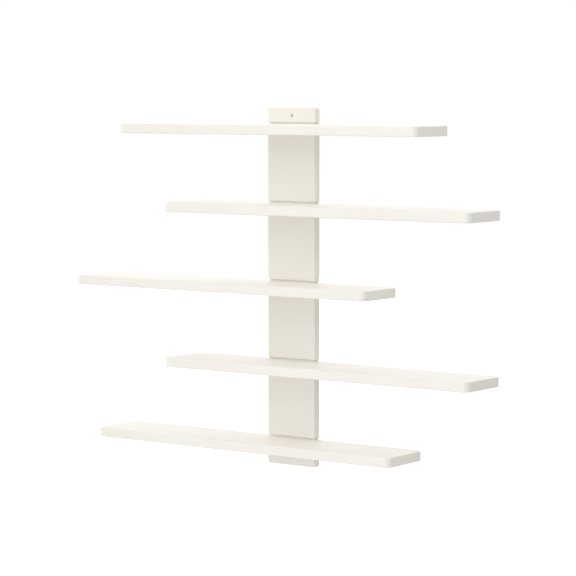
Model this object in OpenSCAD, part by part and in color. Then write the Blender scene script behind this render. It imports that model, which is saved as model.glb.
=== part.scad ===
// Branch wall shelf: five equal boards held at staggered offsets by one narrow spine.
// The spine is six blocks, and each shelf is clamped between two of them. Double-ended
// bolts run through every shelf into cams in the backs of the blocks, and dowels keep
// the blocks from twisting. The assembled shelf hangs on two countersunk wall screws.
// +X runs along the wall, +Y goes into the wall and +Z is up. The wall plane is Y = 0,
// and the origin is midway between the two wall screws.

/* [Shelves] */
// Length of each shelf board along the wall
shelf_length = 910; // [700:5:1200]
// Depth of each shelf board from the wall to its front edge
shelf_depth = 153; // [110:1:260]
// Thickness of each shelf board
shelf_thickness = 25; // [18:1:40]
// Distance from one shelf to the next, top face to top face
shelf_pitch = 198; // [160:1:350]
// Plan radius of the four vertical corners of a shelf
shelf_corner_r = 16; // [8:1:40]
// Radius of the eased edges of a shelf
shelf_edge_r = 2.5; // [1:0.5:6]

/* [Shelf offsets] */
// Sideways offset of shelf 1, the top one, from the spine to the right
shelf_1_offset = 0; // [-250:1:250]
// Sideways offset of shelf 2
shelf_2_offset = 148; // [-250:1:250]
// Sideways offset of shelf 3
shelf_3_offset = -147; // [-250:1:250]
// Sideways offset of shelf 4
shelf_4_offset = 148; // [-250:1:250]
// Sideways offset of shelf 5, the lowest one
shelf_5_offset = -72; // [-250:1:250]

/* [Spine] */
// Width of the spine
spine_width = 145; // [110:1:250]
// Thickness of the spine
spine_thickness = 22; // [20:1:40]
// Height of the block above shelf 1
top_block_height = 42; // [40:1:150]
// Height of the block below shelf 5
tail_block_height = 44; // [40:1:150]
// Radius of the corners at both ends of the spine, seen from the front
spine_corner_r = 5; // [5:1:12]
// Radius of the eased edges of a spine block
spine_edge_r = 2; // [1:0.5:4.5]
// Height of the shadow gap at the foot of each block that stands on a shelf
foot_gap = 4; // [2:0.5:6]
// How far the shadow gap is set back from the front and the sides
foot_setback = 4; // [2:0.5:6]

/* [Wall screws] */
// Diameter of the clearance hole for a wall screw
screw_hole_d = 6; // [4:0.5:7]
// Diameter of the countersink at the front face
countersink_d = 12; // [8:0.5:14]
// Distance from the top and the lowest shelf to the wall screw beyond it
screw_shelf_distance = 21; // [14:1:30]

/* [Fittings] */
// Distance from a side of the spine to the axis of a connecting bolt
bolt_side_distance = 27.5; // [20:0.5:30]
// Shank diameter of a connecting bolt
bolt_d = 7; // [5:0.5:8]
// Clearance around a connecting bolt in its holes
bolt_gap = 0.5; // [0.2:0.1:0.8]
// Diameter of a cam
cam_d = 15; // [12:0.5:18]
// Distance from the end of a block to the axis of its cams
cam_end_distance = 24; // [20:1:28]
// How far a cam reaches past the axis of its bolt
cam_reach = 5.5; // [5:0.5:6]
// Depth of a cam's face below the back of the spine
cam_recess = 0.5; // [0.2:0.1:1.5]
// Clearance around a cam in its pocket
cam_gap = 0.2; // [0.1:0.1:0.5]
// Diameter of a wooden dowel
dowel_d = 8; // [6:1:10]
// Length of dowel in each spine block
dowel_embed = 17; // [12:1:20]
// Distance between the two dowels of a joint
dowel_spacing = 40; // [30:1:46]
// Clearance around a dowel in its holes
dowel_gap = 0.1; // [0.05:0.05:0.3]

/* [Hidden] */
$fn = 48;

// Colours of the lacquer, the plated steel, the zinc and the beech
lacquer = [0.94, 0.93, 0.90];
plated_steel = [0.72, 0.72, 0.73];
zinc = [0.62, 0.62, 0.63];
beech = [0.80, 0.65, 0.47];

shelf_offsets = [shelf_1_offset, shelf_2_offset, shelf_3_offset, shelf_4_offset, shelf_5_offset];
shelf_count = len(shelf_offsets);
// Height of the top shelf's top face. All shelves together lie evenly about Z = 0.
stack_top_z = ((shelf_count - 1) * shelf_pitch + shelf_thickness) / 2;
spine_top_z = stack_top_z + top_block_height;
spine_end_z = -stack_top_z - tail_block_height;
screw_z = stack_top_z + screw_shelf_distance;
// Corners at a joint are hardly rounder than the eased edges
joint_corner_r = spine_edge_r + 0.5;

// Fittings lie in the middle of the spine's thickness
fitting_y = -spine_thickness / 2;
bolt_x = spine_width / 2 - bolt_side_distance;
dowel_x = dowel_spacing / 2;
// A bolt's head sits on the cam axis, behind a thinner neck
bolt_head_length = 5;
bolt_neck_length = 4;
bolt_neck_d = bolt_d - 2;
bolt_hole_d = bolt_d + 2 * bolt_gap;
cam_length = spine_thickness / 2 + cam_reach - cam_recess;
cam_pocket_depth = cam_recess + cam_length + cam_gap;
// Screwdriver cross in a cam's face
cam_cross_length = cam_d * 0.5;
cam_cross_width = 1.4;
cam_cross_depth = 3;
dowel_end_gap = 1;
dowel_chamfer = 1;

// How far a cut runs past a face
cut_over = 1;

// Height of the top face of shelf k, where shelf 1 is the highest
function shelf_top_z(k) = stack_top_z - (k - 1) * shelf_pitch;

// Half section of an eased board at its rim: reach r, thickness t, edge radius e
module rim_profile(r, t, e) {
    square([r - e, t]);
    translate([0, e]) square([r, t - 2 * e]);
    intersection() {
        square([r, t]);
        for (y = [e, t - e])
            translate([r - e, y]) circle(e);
    }
}

// Flat board of w by d, thickness t, corner radius r and all its edges eased by e.
// It lies on the XY plane with its middle on the Z axis.
module eased_board(w, d, t, r, e) {
    straight_x = w - 2 * r;
    straight_y = d - 2 * r;
    translate([-straight_x / 2, -straight_y / 2, 0])
        cube([straight_x, straight_y, t]);
    for (turn = [0, 180]) rotate([0, 0, turn]) {
        // Right and left rims
        translate([straight_x / 2, straight_y / 2, 0])
            rotate([90, 0, 0])
                linear_extrude(straight_y) rim_profile(r, t, e);
        // Rear and front rims
        translate([-straight_x / 2, straight_y / 2, 0])
            rotate([90, 0, 90])
                linear_extrude(straight_x) rim_profile(r, t, e);
        // Corners
        translate([straight_x / 2, straight_y / 2, 0])
            rotate_extrude(angle = 90) rim_profile(r, t, e);
        translate([-straight_x / 2, straight_y / 2, 0])
            rotate([0, 0, 90])
                rotate_extrude(angle = 90) rim_profile(r, t, e);
    }
}

// Vertical hole of diameter d from z0 to z1 at place x in the middle of the spine
module fitting_hole(x, d, z0, z1) {
    translate([x, fitting_y, z0]) cylinder(d = d, h = z1 - z0);
}

module shelf(k) {
    z1 = shelf_top_z(k);
    z0 = z1 - shelf_thickness;
    color(lacquer) difference() {
        translate([shelf_offsets[k - 1], -shelf_depth / 2, z0])
            eased_board(shelf_length, shelf_depth, shelf_thickness, shelf_corner_r, shelf_edge_r);
        for (side = [-1, 1]) {
            fitting_hole(side * bolt_x, bolt_hole_d, z0 - cut_over, z1 + cut_over);
            fitting_hole(side * dowel_x, dowel_d + 2 * dowel_gap, z0 - cut_over, z1 + cut_over);
        }
    }
}

// Holes and cam pockets in one end of a block. The end lies at z, and the block
// reaches up from it where up is 1, or down where up is -1.
module joint_cuts(z, up) {
    bolt_reach = cam_end_distance;
    dowel_reach = dowel_embed + dowel_end_gap;
    for (side = [-1, 1]) {
        fitting_hole(side * bolt_x, bolt_hole_d,
            min(z - up * cut_over, z + up * bolt_reach), max(z - up * cut_over, z + up * bolt_reach));
        fitting_hole(side * dowel_x, dowel_d + 2 * dowel_gap,
            min(z - up * cut_over, z + up * dowel_reach), max(z - up * cut_over, z + up * dowel_reach));
        translate([side * bolt_x, cut_over, z + up * cam_end_distance])
            rotate([90, 0, 0])
                cylinder(d = cam_d + 2 * cam_gap, h = cam_pocket_depth + cut_over);
    }
}

// Countersunk hole for a wall screw at height z
module wall_screw_hole(z) {
    countersink_depth = (countersink_d - screw_hole_d) / 2;
    translate([0, cut_over, z]) rotate([90, 0, 0])
        cylinder(d = screw_hole_d, h = spine_thickness + 2 * cut_over);
    translate([0, countersink_depth - spine_thickness, z]) rotate([90, 0, 0])
        cylinder(d1 = screw_hole_d, d2 = countersink_d, h = countersink_depth);
    // The countersink runs on past the front face at its full width
    translate([0, -spine_thickness, z]) rotate([90, 0, 0])
        cylinder(d = countersink_d, h = cut_over);
}

// Plain spine block from z0 up to z1 with corner radius r
module spine_blank(z0, z1, r = joint_corner_r) {
    translate([0, 0, (z0 + z1) / 2]) rotate([90, 0, 0])
        eased_board(spine_width, z1 - z0, spine_thickness, r, spine_edge_r);
}

// Foot that stands on a shelf at height z. It is set back at the front and the sides,
// which leaves the shadow gap, and it runs up into its block past the rounded corners.
module foot(z) {
    width = spine_width - 2 * foot_setback;
    translate([-width / 2, foot_setback - spine_thickness, z])
        cube([width, spine_thickness - foot_setback, foot_gap + joint_corner_r]);
}

module spine_top() {
    z0 = shelf_top_z(1);
    block_z = z0 + foot_gap;
    color(lacquer) difference() {
        union() {
            foot(z0);
            spine_blank(block_z, spine_top_z, spine_corner_r);
            spine_blank(block_z, (block_z + spine_top_z) / 2);
        }
        joint_cuts(z0, 1);
        wall_screw_hole(screw_z);
    }
}

// Block between shelf k and the shelf below it
module spine_block(k) {
    z0 = shelf_top_z(k + 1);
    z1 = shelf_top_z(k) - shelf_thickness;
    color(lacquer) difference() {
        union() {
            foot(z0);
            spine_blank(z0 + foot_gap, z1);
        }
        joint_cuts(z0, 1);
        joint_cuts(z1, -1);
    }
}

module spine_tail() {
    z1 = shelf_top_z(shelf_count) - shelf_thickness;
    color(lacquer) difference() {
        union() {
            spine_blank(spine_end_z, z1, spine_corner_r);
            spine_blank((z1 + spine_end_z) / 2, z1);
        }
        joint_cuts(z1, -1);
        wall_screw_hole(-screw_z);
    }
}

// Upper half of a connecting bolt, from the middle of a shelf at height 0
module bolt_half() {
    axis = shelf_thickness / 2 + cam_end_distance;
    neck_start = axis - bolt_head_length / 2 - bolt_neck_length;
    cylinder(d = bolt_d, h = neck_start);
    cylinder(d = bolt_neck_d, h = axis);
    translate([0, 0, axis - bolt_head_length / 2])
        cylinder(d = bolt_d, h = bolt_head_length);
}

// Two double-ended bolts through shelf k
module bolts(k) {
    color(plated_steel) for (side = [-1, 1])
        translate([side * bolt_x, fitting_y, shelf_top_z(k) - shelf_thickness / 2])
            for (turn = [0, 180]) rotate([turn, 0, 0]) bolt_half();
}

// One cam, its face at Y = 0 and its body towards -Y, open downwards for the bolt
module cam() {
    difference() {
        rotate([90, 0, 0]) cylinder(d = cam_d, h = cam_length);
        // Way in for the bolt's head, to just past the cam's axis
        translate([0, fitting_y + cam_recess, -cam_d])
            cylinder(d = bolt_hole_d, h = cam_d + bolt_head_length / 2 + bolt_gap);
        // Screwdriver cross
        for (turn = [0, 90]) rotate([0, turn, 0])
            translate([-cam_cross_length / 2, -cam_cross_depth, -cam_cross_width / 2])
                cube([cam_cross_length, cam_cross_depth + cut_over, cam_cross_width]);
    }
}

// Four cams at shelf k: two in the block above it and two in the block below it
module cams(k) {
    z1 = shelf_top_z(k);
    color(zinc) for (side = [-1, 1]) {
        translate([side * bolt_x, -cam_recess, z1 + cam_end_distance]) cam();
        translate([side * bolt_x, -cam_recess, z1 - shelf_thickness - cam_end_distance])
            rotate([0, 180, 0]) cam();
    }
}

// Two dowels through shelf k, chamfered at both ends
module dowels(k) {
    length = shelf_thickness + 2 * dowel_embed;
    bottom = shelf_top_z(k) - shelf_thickness - dowel_embed;
    color(beech) for (side = [-1, 1])
        translate([side * dowel_x, fitting_y, bottom]) {
            cylinder(d1 = dowel_d - 2 * dowel_chamfer, d2 = dowel_d, h = dowel_chamfer);
            translate([0, 0, dowel_chamfer])
                cylinder(d = dowel_d, h = length - 2 * dowel_chamfer);
            translate([0, 0, length - dowel_chamfer])
                cylinder(d1 = dowel_d, d2 = dowel_d - 2 * dowel_chamfer, h = dowel_chamfer);
        }
}

shelf(1);  // shelf_1
shelf(2);  // shelf_2
shelf(3);  // shelf_3
shelf(4);  // shelf_4
shelf(5);  // shelf_5
spine_top();
spine_block(1);  // spine_block_1
spine_block(2);  // spine_block_2
spine_block(3);  // spine_block_3
spine_block(4);  // spine_block_4
spine_tail();
bolts(1);  // bolts_1
bolts(2);  // bolts_2
bolts(3);  // bolts_3
bolts(4);  // bolts_4
bolts(5);  // bolts_5
cams(1);  // cams_1
cams(2);  // cams_2
cams(3);  // cams_3
cams(4);  // cams_4
cams(5);  // cams_5
dowels(1);  // dowels_1
dowels(2);  // dowels_2
dowels(3);  // dowels_3
dowels(4);  // dowels_4
dowels(5);  // dowels_5
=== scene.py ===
# %% [markdown]
# # Branch wall shelf
#
# Five equal boards cross one narrow upright spine, each at its own sideways offset. They are taken to be
# fibreboard, sprayed with a cream satin lacquer and bolted together from behind. The construction model
# already has every board, block, bolt, cam and dowel in its place. This lesson loads it as a fixed frame
# and then gives it what a drawing lacks: finishes, finely shaped castings, light and a camera.

import math

import bmesh
import bpy
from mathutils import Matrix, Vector


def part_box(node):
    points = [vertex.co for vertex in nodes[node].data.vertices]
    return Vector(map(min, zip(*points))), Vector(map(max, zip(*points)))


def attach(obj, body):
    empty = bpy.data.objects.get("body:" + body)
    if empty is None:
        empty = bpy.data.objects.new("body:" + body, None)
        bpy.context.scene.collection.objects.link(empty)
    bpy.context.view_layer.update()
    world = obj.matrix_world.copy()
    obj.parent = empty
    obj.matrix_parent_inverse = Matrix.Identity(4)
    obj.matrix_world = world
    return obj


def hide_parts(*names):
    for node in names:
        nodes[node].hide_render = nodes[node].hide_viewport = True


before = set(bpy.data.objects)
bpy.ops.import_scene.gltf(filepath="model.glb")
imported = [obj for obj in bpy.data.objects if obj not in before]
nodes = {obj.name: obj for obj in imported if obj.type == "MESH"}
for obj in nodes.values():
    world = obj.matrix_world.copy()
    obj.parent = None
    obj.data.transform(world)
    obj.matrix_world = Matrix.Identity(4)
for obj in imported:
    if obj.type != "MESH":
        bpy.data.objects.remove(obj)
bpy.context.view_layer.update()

# %% [markdown]
# ## Sizes
#
# The scene is in metres, but furniture is drawn in millimetres, so one small function turns one into the
# other. The joint sizes below repeat the construction's own, because finishes and castings need to know
# where holes lie.

# %% Joint sizes
def mm(value):
    return value / 1000


SHELVES = 5
SHELF_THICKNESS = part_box("shelf_1")[1].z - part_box("shelf_1")[0].z
SHELF_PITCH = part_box("shelf_1")[1].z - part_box("shelf_2")[1].z
# Middle of the top shelf's thickness, from which each joint is measured
TOP_JOINT_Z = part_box("shelf_1")[1].z - SHELF_THICKNESS / 2
SPINE_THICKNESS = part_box("spine_tail")[1].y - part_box("spine_tail")[0].y
BOLT_X = mm(45)
CAM_END_DISTANCE = mm(24)
CAM_FROM_JOINT = SHELF_THICKNESS / 2 + CAM_END_DISTANCE
CAM_RADIUS = mm(7.5)
CAM_GAP = mm(0.2)
CAM_RECESS = mm(0.5)
# Bolts run in the middle of the spine's thickness, and the cams reach past them
CAM_REACH = mm(5.5)
CAM_LENGTH = SPINE_THICKNESS / 2 + CAM_REACH - CAM_RECESS
BOLT_HOLE_RADIUS = mm(4)
print("pitch:", round(SHELF_PITCH, 4), "joint middle:", round(TOP_JOINT_Z, 4))

# %% [markdown]
# ## Colours and nodes
#
# Paint charts and photographs give colours as sRGB values, while a renderer adds up light in linear ones.
# One function does that change. A second adds a shader node with its links and settings in a single call,
# and a third does arithmetic on sockets, which keeps each material below short enough to read as a recipe.

# %% Colour and node helpers
def linear(sheet_colour):
    """Linear RGBA of an sRGB colour written as six hex digits."""
    parts = [int(sheet_colour[i:i + 2], 16) / 255 for i in (0, 2, 4)]
    return (*[p / 12.92 if p <= 0.04045 else ((p + 0.055) / 1.055) ** 2.4 for p in parts], 1.0)


def new_material(name):
    material = bpy.data.materials.new(name)
    material.use_nodes = True
    material.node_tree.nodes.clear()
    return material


def add(tree, kind, links=None, inputs=None, **settings):
    """Adds a node, sets its properties and input values, and links its inputs to other nodes' outputs."""
    node = tree.nodes.new(kind)
    for name, value in settings.items():
        setattr(node, name, value)
    for name, value in (inputs or {}).items():
        node.inputs[name].default_value = value
    for name, source in (links or {}).items():
        tree.links.new(source, node.inputs[name])
    return node


def maths(tree, operation, *values):
    """The result of a Math node. Each value is a number or another node's output."""
    node = tree.nodes.new("ShaderNodeMath")
    node.operation = operation
    for socket, value in zip(node.inputs, values):
        if isinstance(value, (int, float)):
            socket.default_value = value
        else:
            tree.links.new(value, socket)
    return node.outputs["Value"]


def noise(tree, place, size, detail=2.0, roughness=0.5):
    """Noise from 0 to 1 in patches of about that size in metres."""
    return add(tree, "ShaderNodeTexNoise", {"Vector": place},
               {"Scale": 1 / size, "Detail": detail, "Roughness": roughness}).outputs["Fac"]


def blend(tree, factor, first, second):
    """First colour where the factor is 0, second where it is 1. A colour is hex digits or a node's output."""
    node = add(tree, "ShaderNodeMix", data_type="RGBA")
    tree.links.new(factor, node.inputs[0])
    colour_inputs = [socket for socket in node.inputs if socket.type == "RGBA"]
    for socket, colour in zip(colour_inputs, (first, second)):
        if isinstance(colour, str):
            socket.default_value = linear(colour)
        else:
            tree.links.new(colour, socket)
    return next(socket for socket in node.outputs if socket.type == "RGBA")


def spread(tree, value, low, high, from_low=0.3, from_high=0.7):
    """Stretches a value, by default the middle of a noise, to a new range."""
    return add(tree, "ShaderNodeMapRange", {"Value": value},
               {"From Min": from_low, "From Max": from_high, "To Min": low, "To Max": high}).outputs["Result"]


def finish_material(material, colour, roughness, bump, **numbers):
    """Closes a material with one Principled shader. The numbers are plain values for its other inputs."""
    tree = material.node_tree
    shader = add(tree, "ShaderNodeBsdfPrincipled",
                 {"Base Color": colour, "Roughness": roughness, "Normal": bump.outputs["Normal"]}, numbers)
    add(tree, "ShaderNodeOutputMaterial", {"Surface": shader.outputs["BSDF"]})
    return material


def dress(material, *prefixes):
    """Gives the material to every node whose name starts with one of the prefixes."""
    dressed = [name for name in nodes if name.startswith(prefixes)]
    for name in dressed:
        nodes[name].data.materials.clear()
        nodes[name].data.materials.append(material)
    print(material.name, "on", ", ".join(dressed))


# %% [markdown]
# ## Satin lacquer on fibreboard
#
# Medium density fibreboard is primed, sprayed with a cream lacquer and sanded between coats. The eye reads
# a warm white that is never quite even, a soft satin shine, and the shallow ripple of sprayed paint that
# breaks up reflections. On the eased edges the coat pulls thin and looks a little warmer and more polished.
# The wall screws' holes are sprayed together with the front. The cam pockets are bored into the back
# afterwards, so their walls show brown board.
#
# Boards have flat faces that look straight along an axis. Only their rounded edges look anywhere else, so the
# surface normal alone tells the shader where an edge is.

# %% Masks for edges and cam pockets
def edge_mask(tree):
    """0 on the flat faces and 1 halfway round an eased edge."""
    normal = add(tree, "ShaderNodeNewGeometry").outputs["Normal"]
    facing = add(tree, "ShaderNodeVectorMath", {0: normal}, operation="ABSOLUTE").outputs["Vector"]
    axes = add(tree, "ShaderNodeSeparateXYZ", {"Vector": facing}).outputs
    largest = maths(tree, "MAXIMUM", axes["X"], maths(tree, "MAXIMUM", axes["Y"], axes["Z"]))
    return spread(tree, largest, 1.0, 0.0, from_low=math.cos(math.radians(45)), from_high=0.995)


def distance(tree, across, up):
    """Distance from a hole's axis, where across and up are measured from that axis."""
    return maths(tree, "SQRT", maths(tree, "ADD", maths(tree, "MULTIPLY", across, across),
                                     maths(tree, "MULTIPLY", up, up)))


def bored_mask(tree, place):
    """1 on the walls of the cam pockets in the spine's back."""
    axes = add(tree, "ShaderNodeSeparateXYZ", {"Vector": place}).outputs
    # All joints are alike, so heights fold onto the top one
    from_top_joint = maths(tree, "SUBTRACT", axes["Z"], TOP_JOINT_Z)
    folded = maths(tree, "WRAP", from_top_joint, SHELF_PITCH / 2, -SHELF_PITCH / 2)
    pocket_up = maths(tree, "SUBTRACT", maths(tree, "ABSOLUTE", folded), CAM_FROM_JOINT)
    pocket_across = maths(tree, "SUBTRACT", maths(tree, "ABSOLUTE", axes["X"]), BOLT_X)
    wall_margin = mm(0.05)
    near_pocket = maths(tree, "LESS_THAN", distance(tree, pocket_across, pocket_up),
                        CAM_RADIUS + CAM_GAP + wall_margin)
    # Pockets are blind, so the front face over them stays painted
    behind_front = maths(tree, "GREATER_THAN", axes["Y"], mm(1) - SPINE_THICKNESS)
    return maths(tree, "MULTIPLY", near_pocket, behind_front)


# %% Lacquer
def make_lacquer():
    material = new_material("satin_lacquer_on_fibreboard")
    tree = material.node_tree
    place = add(tree, "ShaderNodeTexCoord").outputs["Object"]
    edge = edge_mask(tree)
    bored = bored_mask(tree, place)

    # Cloudy unevenness of the coat, in patches about 180 mm across
    coat = blend(tree, spread(tree, noise(tree, place, mm(180), 3.0), 0, 1), "F5F2EC", "F3EFE6")
    # Thin coat on the eased edges, broken up along their length
    thin = maths(tree, "MULTIPLY", edge, spread(tree, noise(tree, place, mm(25), 3.0), 0.1, 0.45))
    coat = blend(tree, thin, coat, "EAE2D3")
    # Cut fibreboard: short brown fibres under 1 mm
    fibres = noise(tree, place, mm(0.8), 4.0, 0.7)
    board = blend(tree, spread(tree, fibres, 0, 1), "8F6E4A", "B39169")
    colour = blend(tree, bored, coat, board)

    # Shine varies between sprayed passes, and handled edges are more polished
    sprayed = spread(tree, noise(tree, place, mm(60), 4.0), 0.32, 0.42)
    polished = maths(tree, "SUBTRACT", sprayed, maths(tree, "MULTIPLY", edge, 0.05))
    roughness = maths(tree, "ADD", polished, maths(tree, "MULTIPLY", bored, 0.45))

    # Sprayed ripple: real lacquer ripples every 2 mm or so, drawn at 5 mm so that it shows at all
    ripple = noise(tree, place, mm(5), 2.0, 0.4)
    ripple_bump = add(tree, "ShaderNodeBump", {"Height": ripple}, {"Strength": 0.3, "Distance": mm(0.05)})
    rough_fibres = maths(tree, "MULTIPLY", fibres, bored)
    bump = add(tree, "ShaderNodeBump", {"Height": rough_fibres, "Normal": ripple_bump.outputs["Normal"]},
               {"Strength": 0.5, "Distance": mm(0.3)})
    return finish_material(material, colour, roughness, bump, IOR=1.5)


dress(make_lacquer(), "shelf", "spine")

# %% [markdown]
# ## Beech dowels
#
# Dowels are turned from steamed beech. It is a pale pinkish brown, with straight grain along the peg and
# short dark flecks, the rays that mark beech out. A dry, open surface hardly shines.

# %% Beech
def make_beech():
    material = new_material("turned_beech")
    tree = material.node_tree
    place = add(tree, "ShaderNodeTexCoord").outputs["Object"]

    # Grain is 12 times as long as it is wide, along the upright peg
    along = add(tree, "ShaderNodeMapping", {"Vector": place}, {"Scale": (1, 1, 1 / 12)}).outputs["Vector"]
    grain = noise(tree, along, mm(1.2), 3.0, 0.6)
    wood = blend(tree, spread(tree, grain, 0, 1), "D8B588", "C69C6C")
    # Ray flecks about 0.5 mm wide and 2 mm tall
    fleck_mapping = add(tree, "ShaderNodeMapping", {"Vector": place}, {"Scale": (1, 1, 1 / 4)})
    specks = noise(tree, fleck_mapping.outputs["Vector"], mm(0.5), 1.0)
    flecks = spread(tree, specks, 0, 0.6, from_low=0.62, from_high=0.72)
    colour = blend(tree, flecks, wood, "9A6C41")

    roughness = spread(tree, grain, 0.62, 0.78)
    bump = add(tree, "ShaderNodeBump", {"Height": grain}, {"Strength": 0.4, "Distance": mm(0.1)})
    return finish_material(material, colour, roughness, bump, IOR=1.5)


dress(make_beech(), "dowels")

# %% [markdown]
# ## Zinc-plated steel bolts
#
# The connecting bolts are turned steel with a bright zinc plate: a cool grey metal with faint turning rings
# round the shank and a slight straw tint where the passivation is thicker.

# %% Plated steel
def make_plated_steel():
    material = new_material("zinc_plated_steel")
    tree = material.node_tree
    place = add(tree, "ShaderNodeTexCoord").outputs["Object"]

    tint = noise(tree, place, mm(6), 3.0)
    colour = blend(tree, spread(tree, tint, 0, 1), "BFC4C9", "C9C5B4")
    roughness = spread(tree, noise(tree, place, mm(2), 4.0), 0.24, 0.38)
    # Turning rings are about 0.1 mm apart, drawn at 0.4 mm so that they can be seen. At scale 1 the wave
    # node's bands repeat every tau / 20.
    rings = add(tree, "ShaderNodeTexWave", {"Vector": place},
                {"Scale": math.tau / 20 / mm(0.4), "Distortion": 0.3}, bands_direction="Z").outputs["Fac"]
    bump = add(tree, "ShaderNodeBump", {"Height": rings}, {"Strength": 0.3, "Distance": mm(0.02)})
    return finish_material(material, colour, roughness, bump, Metallic=1.0)


dress(make_plated_steel(), "bolts")

# %% [markdown]
# ## Die cast zinc cams
#
# Each joint is drawn tight by four cams let into the back of the spine. A cam is a small zinc casting: dull
# grey, with cloudy flow marks where the metal met the die, and a fine grain from the die's own blasted
# surface.
#
# The construction model's cams are plain cylinders with a bolt way and a straight cross. One finely shaped
# casting replaces them. It has their size and bolt way, and adds a raised rim, a sunk face, a tapered
# screwdriver cross and an arrow that shows where the bolt goes in.

# %% Die cast zinc
def make_zinc():
    material = new_material("die_cast_zinc")
    tree = material.node_tree
    place = add(tree, "ShaderNodeTexCoord").outputs["Object"]

    flow = noise(tree, place, mm(4), 5.0, 0.6)
    colour = blend(tree, spread(tree, flow, 0, 1), "9EA1A4", "B4B6B7")
    roughness = spread(tree, flow, 0.55, 0.38)
    grain = noise(tree, place, mm(0.3), 2.0)
    bump = add(tree, "ShaderNodeBump", {"Height": grain}, {"Strength": 0.25, "Distance": mm(0.05)})
    return finish_material(material, colour, roughness, bump, Metallic=1.0)


zinc = make_zinc()
dress(zinc, "cams")

# %% Shapes for the casting
def shape_object(name, shape):
    """A linked object from a bmesh, with its faces turned outward."""
    bmesh.ops.recalc_face_normals(shape, faces=shape.faces)
    mesh = bpy.data.meshes.new(name)
    shape.to_mesh(mesh)
    shape.free()
    made = bpy.data.objects.new(name, mesh)
    bpy.context.scene.collection.objects.link(made)
    return made


def turned_body(name, outline, steps=72):
    """Turns an outline of (radius, y) points round the Y axis. It starts and ends on the axis."""
    shape = bmesh.new()
    corners = [shape.verts.new((radius, y, 0)) for radius, y in outline]
    edges = [shape.edges.new(pair) for pair in zip(corners, corners[1:])]
    bmesh.ops.spin(shape, geom=corners + edges, axis=(0, 1, 0), cent=(0, 0, 0), angle=math.tau, steps=steps)
    bmesh.ops.remove_doubles(shape, verts=shape.verts, dist=mm(0.001))
    return shape_object(name, shape)


def tapered_prism(name, corners, depth, taper):
    """Prism on (x, z) corners, from just above Y = 0 down to -depth, where it is scaled by the taper."""
    shape = bmesh.new()
    top_y = mm(0.5)
    top = [shape.verts.new((x, top_y, z)) for x, z in corners]
    bottom = [shape.verts.new((x * taper, -depth, z * taper)) for x, z in corners]
    shape.faces.new(top)
    shape.faces.new(bottom[::-1])
    for i, (a, b) in enumerate(zip(top, bottom)):
        following = (i + 1) % len(corners)
        shape.faces.new((top[following], a, b, bottom[following]))
    return shape_object(name, shape)


def upright_bore(name, radius, top_z, length, y):
    """Cylinder along Z, to cut a hole from below up to top_z."""
    shape = bmesh.new()
    bmesh.ops.create_cone(shape, cap_ends=True, segments=48, radius1=radius, radius2=radius, depth=length)
    bmesh.ops.translate(shape, verts=shape.verts, vec=(0, y, top_z - length / 2))
    return shape_object(name, shape)


def cut_away(body, cutters):
    """The body's mesh with the cutters taken out of it. Body and cutters are used up."""
    for cutter in cutters:
        cut = body.modifiers.new(cutter.name, "BOOLEAN")
        cut.operation = "DIFFERENCE"
        cut.solver = "EXACT"
        cut.object = cutter
    bpy.context.view_layer.update()
    evaluated = body.evaluated_get(bpy.context.evaluated_depsgraph_get())
    mesh = bpy.data.meshes.new_from_object(evaluated)
    for used in (*cutters, body):
        bpy.data.objects.remove(used)
    return mesh


# %% One cam casting
def cam_casting():
    """Mesh of one cam. Its face is towards +Y and the bolt comes in from below."""
    face = -CAM_RECESS
    back = face - CAM_LENGTH
    rim, edge, sunk = mm(1.1), mm(0.4), mm(0.35)
    body = turned_body("cam_body", [
        (0, back), (CAM_RADIUS - edge, back), (CAM_RADIUS, back + edge), (CAM_RADIUS, face - edge),
        (CAM_RADIUS - edge, face), (CAM_RADIUS - rim, face), (CAM_RADIUS - rim - sunk, face - sunk),
        (0, face - sunk)])

    # Screwdriver cross, 7.5 mm long and 3 mm deep, that narrows as it goes in
    arm, half_slot = mm(3.75), mm(0.7)
    cross = [(-arm, -half_slot), (-half_slot, -half_slot), (-half_slot, -arm), (half_slot, -arm),
             (half_slot, -half_slot), (arm, -half_slot), (arm, half_slot), (half_slot, half_slot),
             (half_slot, arm), (-half_slot, arm), (-half_slot, half_slot), (-arm, half_slot)]
    driver_cross = tapered_prism("cam_cross", cross, depth=mm(3.5), taper=0.72)

    # Arrow mark that points down at the bolt
    tip, base, half_width = mm(5.9), mm(4.6), mm(1.1)
    arrow_corners = [(0, -tip), (half_width, -base), (-half_width, -base)]
    arrow = tapered_prism("cam_arrow", arrow_corners, depth=mm(1.1), taper=1.0)

    # The bolt's head goes in from below, to just past the cam's axis
    bolt_way = upright_bore("bolt_way", BOLT_HOLE_RADIUS, top_z=mm(3), length=mm(18),
                            y=-SPINE_THICKNESS / 2)

    mesh = cut_away(body, [driver_cross, arrow, bolt_way])
    mesh.shade_smooth()
    mesh.set_sharp_from_angle(angle=math.radians(30))
    return mesh


casting = cam_casting()
print("cam casting:", len(casting.polygons), "faces")

# %% [markdown]
# The same casting sits four times at each of five joints, and a Geometry Nodes tree places all twenty. It
# lays a line of points down the spine, one for each joint, sets two cams above each shelf and two below it,
# the lower pair turned upside down, and then makes the copies real.

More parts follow.
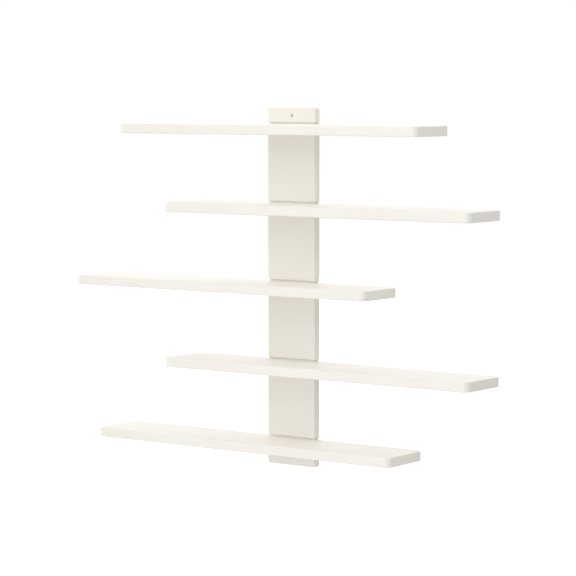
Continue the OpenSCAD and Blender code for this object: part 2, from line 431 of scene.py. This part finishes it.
# %% Cams along the spine
def cam_rows_tree():
    tree = bpy.data.node_groups.new("cam_rows", "GeometryNodeTree")
    sockets = tree.interface
    sockets.new_socket("Casting", in_out="INPUT", socket_type="NodeSocketGeometry")
    for name in ("Across", "From joint", "Top joint", "Pitch"):
        sockets.new_socket(name, in_out="INPUT", socket_type="NodeSocketFloat")
    sockets.new_socket("Joints", in_out="INPUT", socket_type="NodeSocketInt")
    sockets.new_socket("Finish", in_out="INPUT", socket_type="NodeSocketMaterial")
    sockets.new_socket("Cams", in_out="OUTPUT", socket_type="NodeSocketGeometry")
    given = add(tree, "NodeGroupInput").outputs

    one = add(tree, "GeometryNodeGeometryToInstance", {"Geometry": given["Casting"]}).outputs[0]
    four = add(tree, "GeometryNodeJoinGeometry")
    for side in (-1, 1):
        for up in (1, -1):
            place = add(tree, "ShaderNodeCombineXYZ", {
                "X": maths(tree, "MULTIPLY", given["Across"], side),
                "Z": maths(tree, "MULTIPLY", given["From joint"], up)}).outputs["Vector"]
            turn = (0, 0 if up > 0 else math.pi, 0)
            cam = add(tree, "GeometryNodeTransform", {"Geometry": one, "Translation": place},
                      {"Rotation": turn})
            tree.links.new(cam.outputs["Geometry"], four.inputs["Geometry"])

    start = add(tree, "ShaderNodeCombineXYZ", {"Z": given["Top joint"]}).outputs["Vector"]
    one_pitch_down = maths(tree, "MULTIPLY", given["Pitch"], -1)
    step = add(tree, "ShaderNodeCombineXYZ", {"Z": one_pitch_down}).outputs["Vector"]
    joints = add(tree, "GeometryNodeMeshLine",
                 {"Count": given["Joints"], "Start Location": start, "Offset": step}).outputs["Mesh"]
    placed = add(tree, "GeometryNodeInstanceOnPoints",
                 {"Points": joints, "Instance": four.outputs["Geometry"]}).outputs["Instances"]
    real = add(tree, "GeometryNodeRealizeInstances", {"Geometry": placed}).outputs["Geometry"]
    finished = add(tree, "GeometryNodeSetMaterial", {"Geometry": real, "Material": given["Finish"]})
    add(tree, "NodeGroupOutput", {"Cams": finished.outputs["Geometry"]})
    return tree


def set_input(modifier, name, value):
    """Sets a tree's input by its name, through the identifier that the modifier knows it by."""
    sockets = modifier.node_group.interface.items_tree
    socket = next(s for s in sockets if s.name == name and s.in_out == "INPUT")
    modifier[socket.identifier] = value


def place_cams():
    pattern = bpy.data.objects.new("cam_pattern", casting)
    bpy.context.scene.collection.objects.link(pattern)
    rows = pattern.modifiers.new("cam_rows", "NODES")
    rows.node_group = cam_rows_tree()
    for name, value in {"Across": BOLT_X, "From joint": CAM_FROM_JOINT, "Top joint": TOP_JOINT_Z,
                        "Pitch": SHELF_PITCH, "Joints": SHELVES, "Finish": zinc}.items():
        set_input(rows, name, value)
    bpy.context.view_layer.update()
    mesh = bpy.data.meshes.new_from_object(pattern.evaluated_get(bpy.context.evaluated_depsgraph_get()))
    bpy.data.objects.remove(pattern)
    cams = bpy.data.objects.new("cam_castings", mesh)
    bpy.context.scene.collection.objects.link(cams)
    return cams


cams = place_cams()
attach(cams, "root")
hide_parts(*[f"cams_{k}" for k in range(1, SHELVES + 1)])
print("cam castings:", len(cams.data.polygons), "faces")

# %% [markdown]
# ## Floor and studio
#
# The shelf hangs about a metre above a pale floor. White studio paper is lit from all sides until it shows
# as plain white, but a renderer would need far too much light for that. So the floor's material adds white
# only for the rays that the camera sees: a third of it near the shelf, where its shadow falls, and all of
# it farther off.

# %% Floor
FLOOR_Z = -1.4


def make_floor_paper():
    material = new_material("white_studio_paper")
    tree = material.node_tree
    place = add(tree, "ShaderNodeTexCoord").outputs["Object"]
    fibre = noise(tree, place, mm(3), 3.0)
    bump = add(tree, "ShaderNodeBump", {"Height": fibre}, {"Strength": 0.1, "Distance": mm(0.1)})
    paper = add(tree, "ShaderNodeBsdfDiffuse", {"Normal": bump.outputs["Normal"]},
                {"Color": linear("EDEDED")})

    # Glow for the camera rises from the shadow's place, out to the far floor
    away = add(tree, "ShaderNodeVectorMath", {0: place}, operation="LENGTH").outputs["Value"]
    strength = spread(tree, away, 0.35, 1.0, from_low=1.2, from_high=2.6)
    glow = add(tree, "ShaderNodeEmission", {"Strength": strength})
    dim_paper = add(tree, "ShaderNodeBsdfDiffuse", inputs={"Color": linear("BCBCBC")})
    seen = add(tree, "ShaderNodeAddShader", {0: glow.outputs[0], 1: dim_paper.outputs[0]})
    rays = add(tree, "ShaderNodeLightPath").outputs
    choice = add(tree, "ShaderNodeMixShader",
                 {0: rays["Is Camera Ray"], 1: paper.outputs[0], 2: seen.outputs[0]})
    add(tree, "ShaderNodeOutputMaterial", {"Surface": choice.outputs[0]})
    return material


def lay_floor(half=15):
    mesh = bpy.data.meshes.new("floor")
    corners = [(-half, -half, 0), (half, -half, 0), (half, half, 0), (-half, half, 0)]
    mesh.from_pydata(corners, [], [(0, 1, 2, 3)])
    mesh.materials.append(make_floor_paper())
    floor = bpy.data.objects.new("floor", mesh)
    floor.location.z = FLOOR_Z
    bpy.context.scene.collection.objects.link(floor)


lay_floor()

# %% [markdown]
# ## Light
#
# The photograph looks as if it was taken in a bright white room, so most of the light here is even and
# comes from a plain sky. A window on the far left, almost in line with the wall, keeps the spine's right
# side darker. Softboxes on the right, in front and overhead lift the fronts and the tops of the boards, and
# a low card fills the undersides. A lamp over the back does what a white wall would do: it brightens what
# lies near it. The camera and reflections see the sky as plain white, wherever no lamp or floor is in the
# way.

# %% Lamps
def softbox(name, place, width, height, power):
    """Rectangular lamp that looks at the shelf's middle and that the camera doesn't see."""
    light = bpy.data.lights.new(name, "AREA")
    light.shape = "RECTANGLE"
    light.size = width
    light.size_y = height
    light.energy = power
    lamp = bpy.data.objects.new(name, light)
    lamp.location = place
    lamp.rotation_euler = (-Vector(place)).to_track_quat("-Z", "Y").to_euler()
    lamp.visible_camera = False
    bpy.context.scene.collection.objects.link(lamp)


# Places and sizes in metres, powers in watts
softbox("left_window", (-4.0, -0.8, 1.0), width=2.2, height=2.2, power=32)
softbox("right_softbox", (1.93, -2.65, 2.29), width=2.2, height=2.2, power=37)
softbox("front_softbox", (0, -3.94, 0.69), width=2.2, height=2.2, power=7)
softbox("overhead", (0, -2.29, 3.28), width=2.2, height=2.2, power=17)
softbox("low_card", (0, -2.18, -0.7), width=1.2, height=1.2, power=6)
softbox("wall_wash", (-0.6, 1.0, 1.8), width=3.0, height=1.2, power=16)

# %% Sky
def make_sky(strength):
    world = bpy.data.worlds.new("studio")
    world.use_nodes = True
    tree = world.node_tree
    tree.nodes.clear()
    rays = add(tree, "ShaderNodeLightPath").outputs
    seen = maths(tree, "MAXIMUM", rays["Is Camera Ray"],
                 maths(tree, "MAXIMUM", rays["Is Glossy Ray"], rays["Is Transmission Ray"]))
    dim = add(tree, "ShaderNodeBackground", inputs={"Color": (1, 1, 1, 1), "Strength": strength})
    white = add(tree, "ShaderNodeBackground", inputs={"Color": (1, 1, 1, 1), "Strength": 1.0})
    choice = add(tree, "ShaderNodeMixShader", {0: seen, 1: dim.outputs[0], 2: white.outputs[0]})
    add(tree, "ShaderNodeOutputWorld", {"Surface": choice.outputs[0]})
    bpy.context.scene.world = world


make_sky(strength=0.575)

# %% [markdown]
# ## Camera
#
# The photograph looks at the shelf from its right, from just above the top board and about six metres away.
# Its long lens keeps the boards nearly parallel. A level camera with a shifted picture would fit a little
# better, but every other view would keep that shift, so this one looks down by a few degrees instead.

# %% Camera
def place_camera():
    camera = bpy.data.cameras.new("camera")
    camera.sensor_width = 36
    camera.lens = 148.84
    holder = bpy.data.objects.new("camera", camera)
    holder.location = (3.5151, -4.8462, 0.4934)
    looks_down, looks_left = math.radians(4.7504), math.radians(36.1524)
    holder.rotation_euler = (math.pi / 2 - looks_down, 0, looks_left)
    bpy.context.scene.collection.objects.link(holder)
    bpy.context.scene.camera = holder


place_camera()
bpy.context.scene.view_settings.view_transform = "Standard"
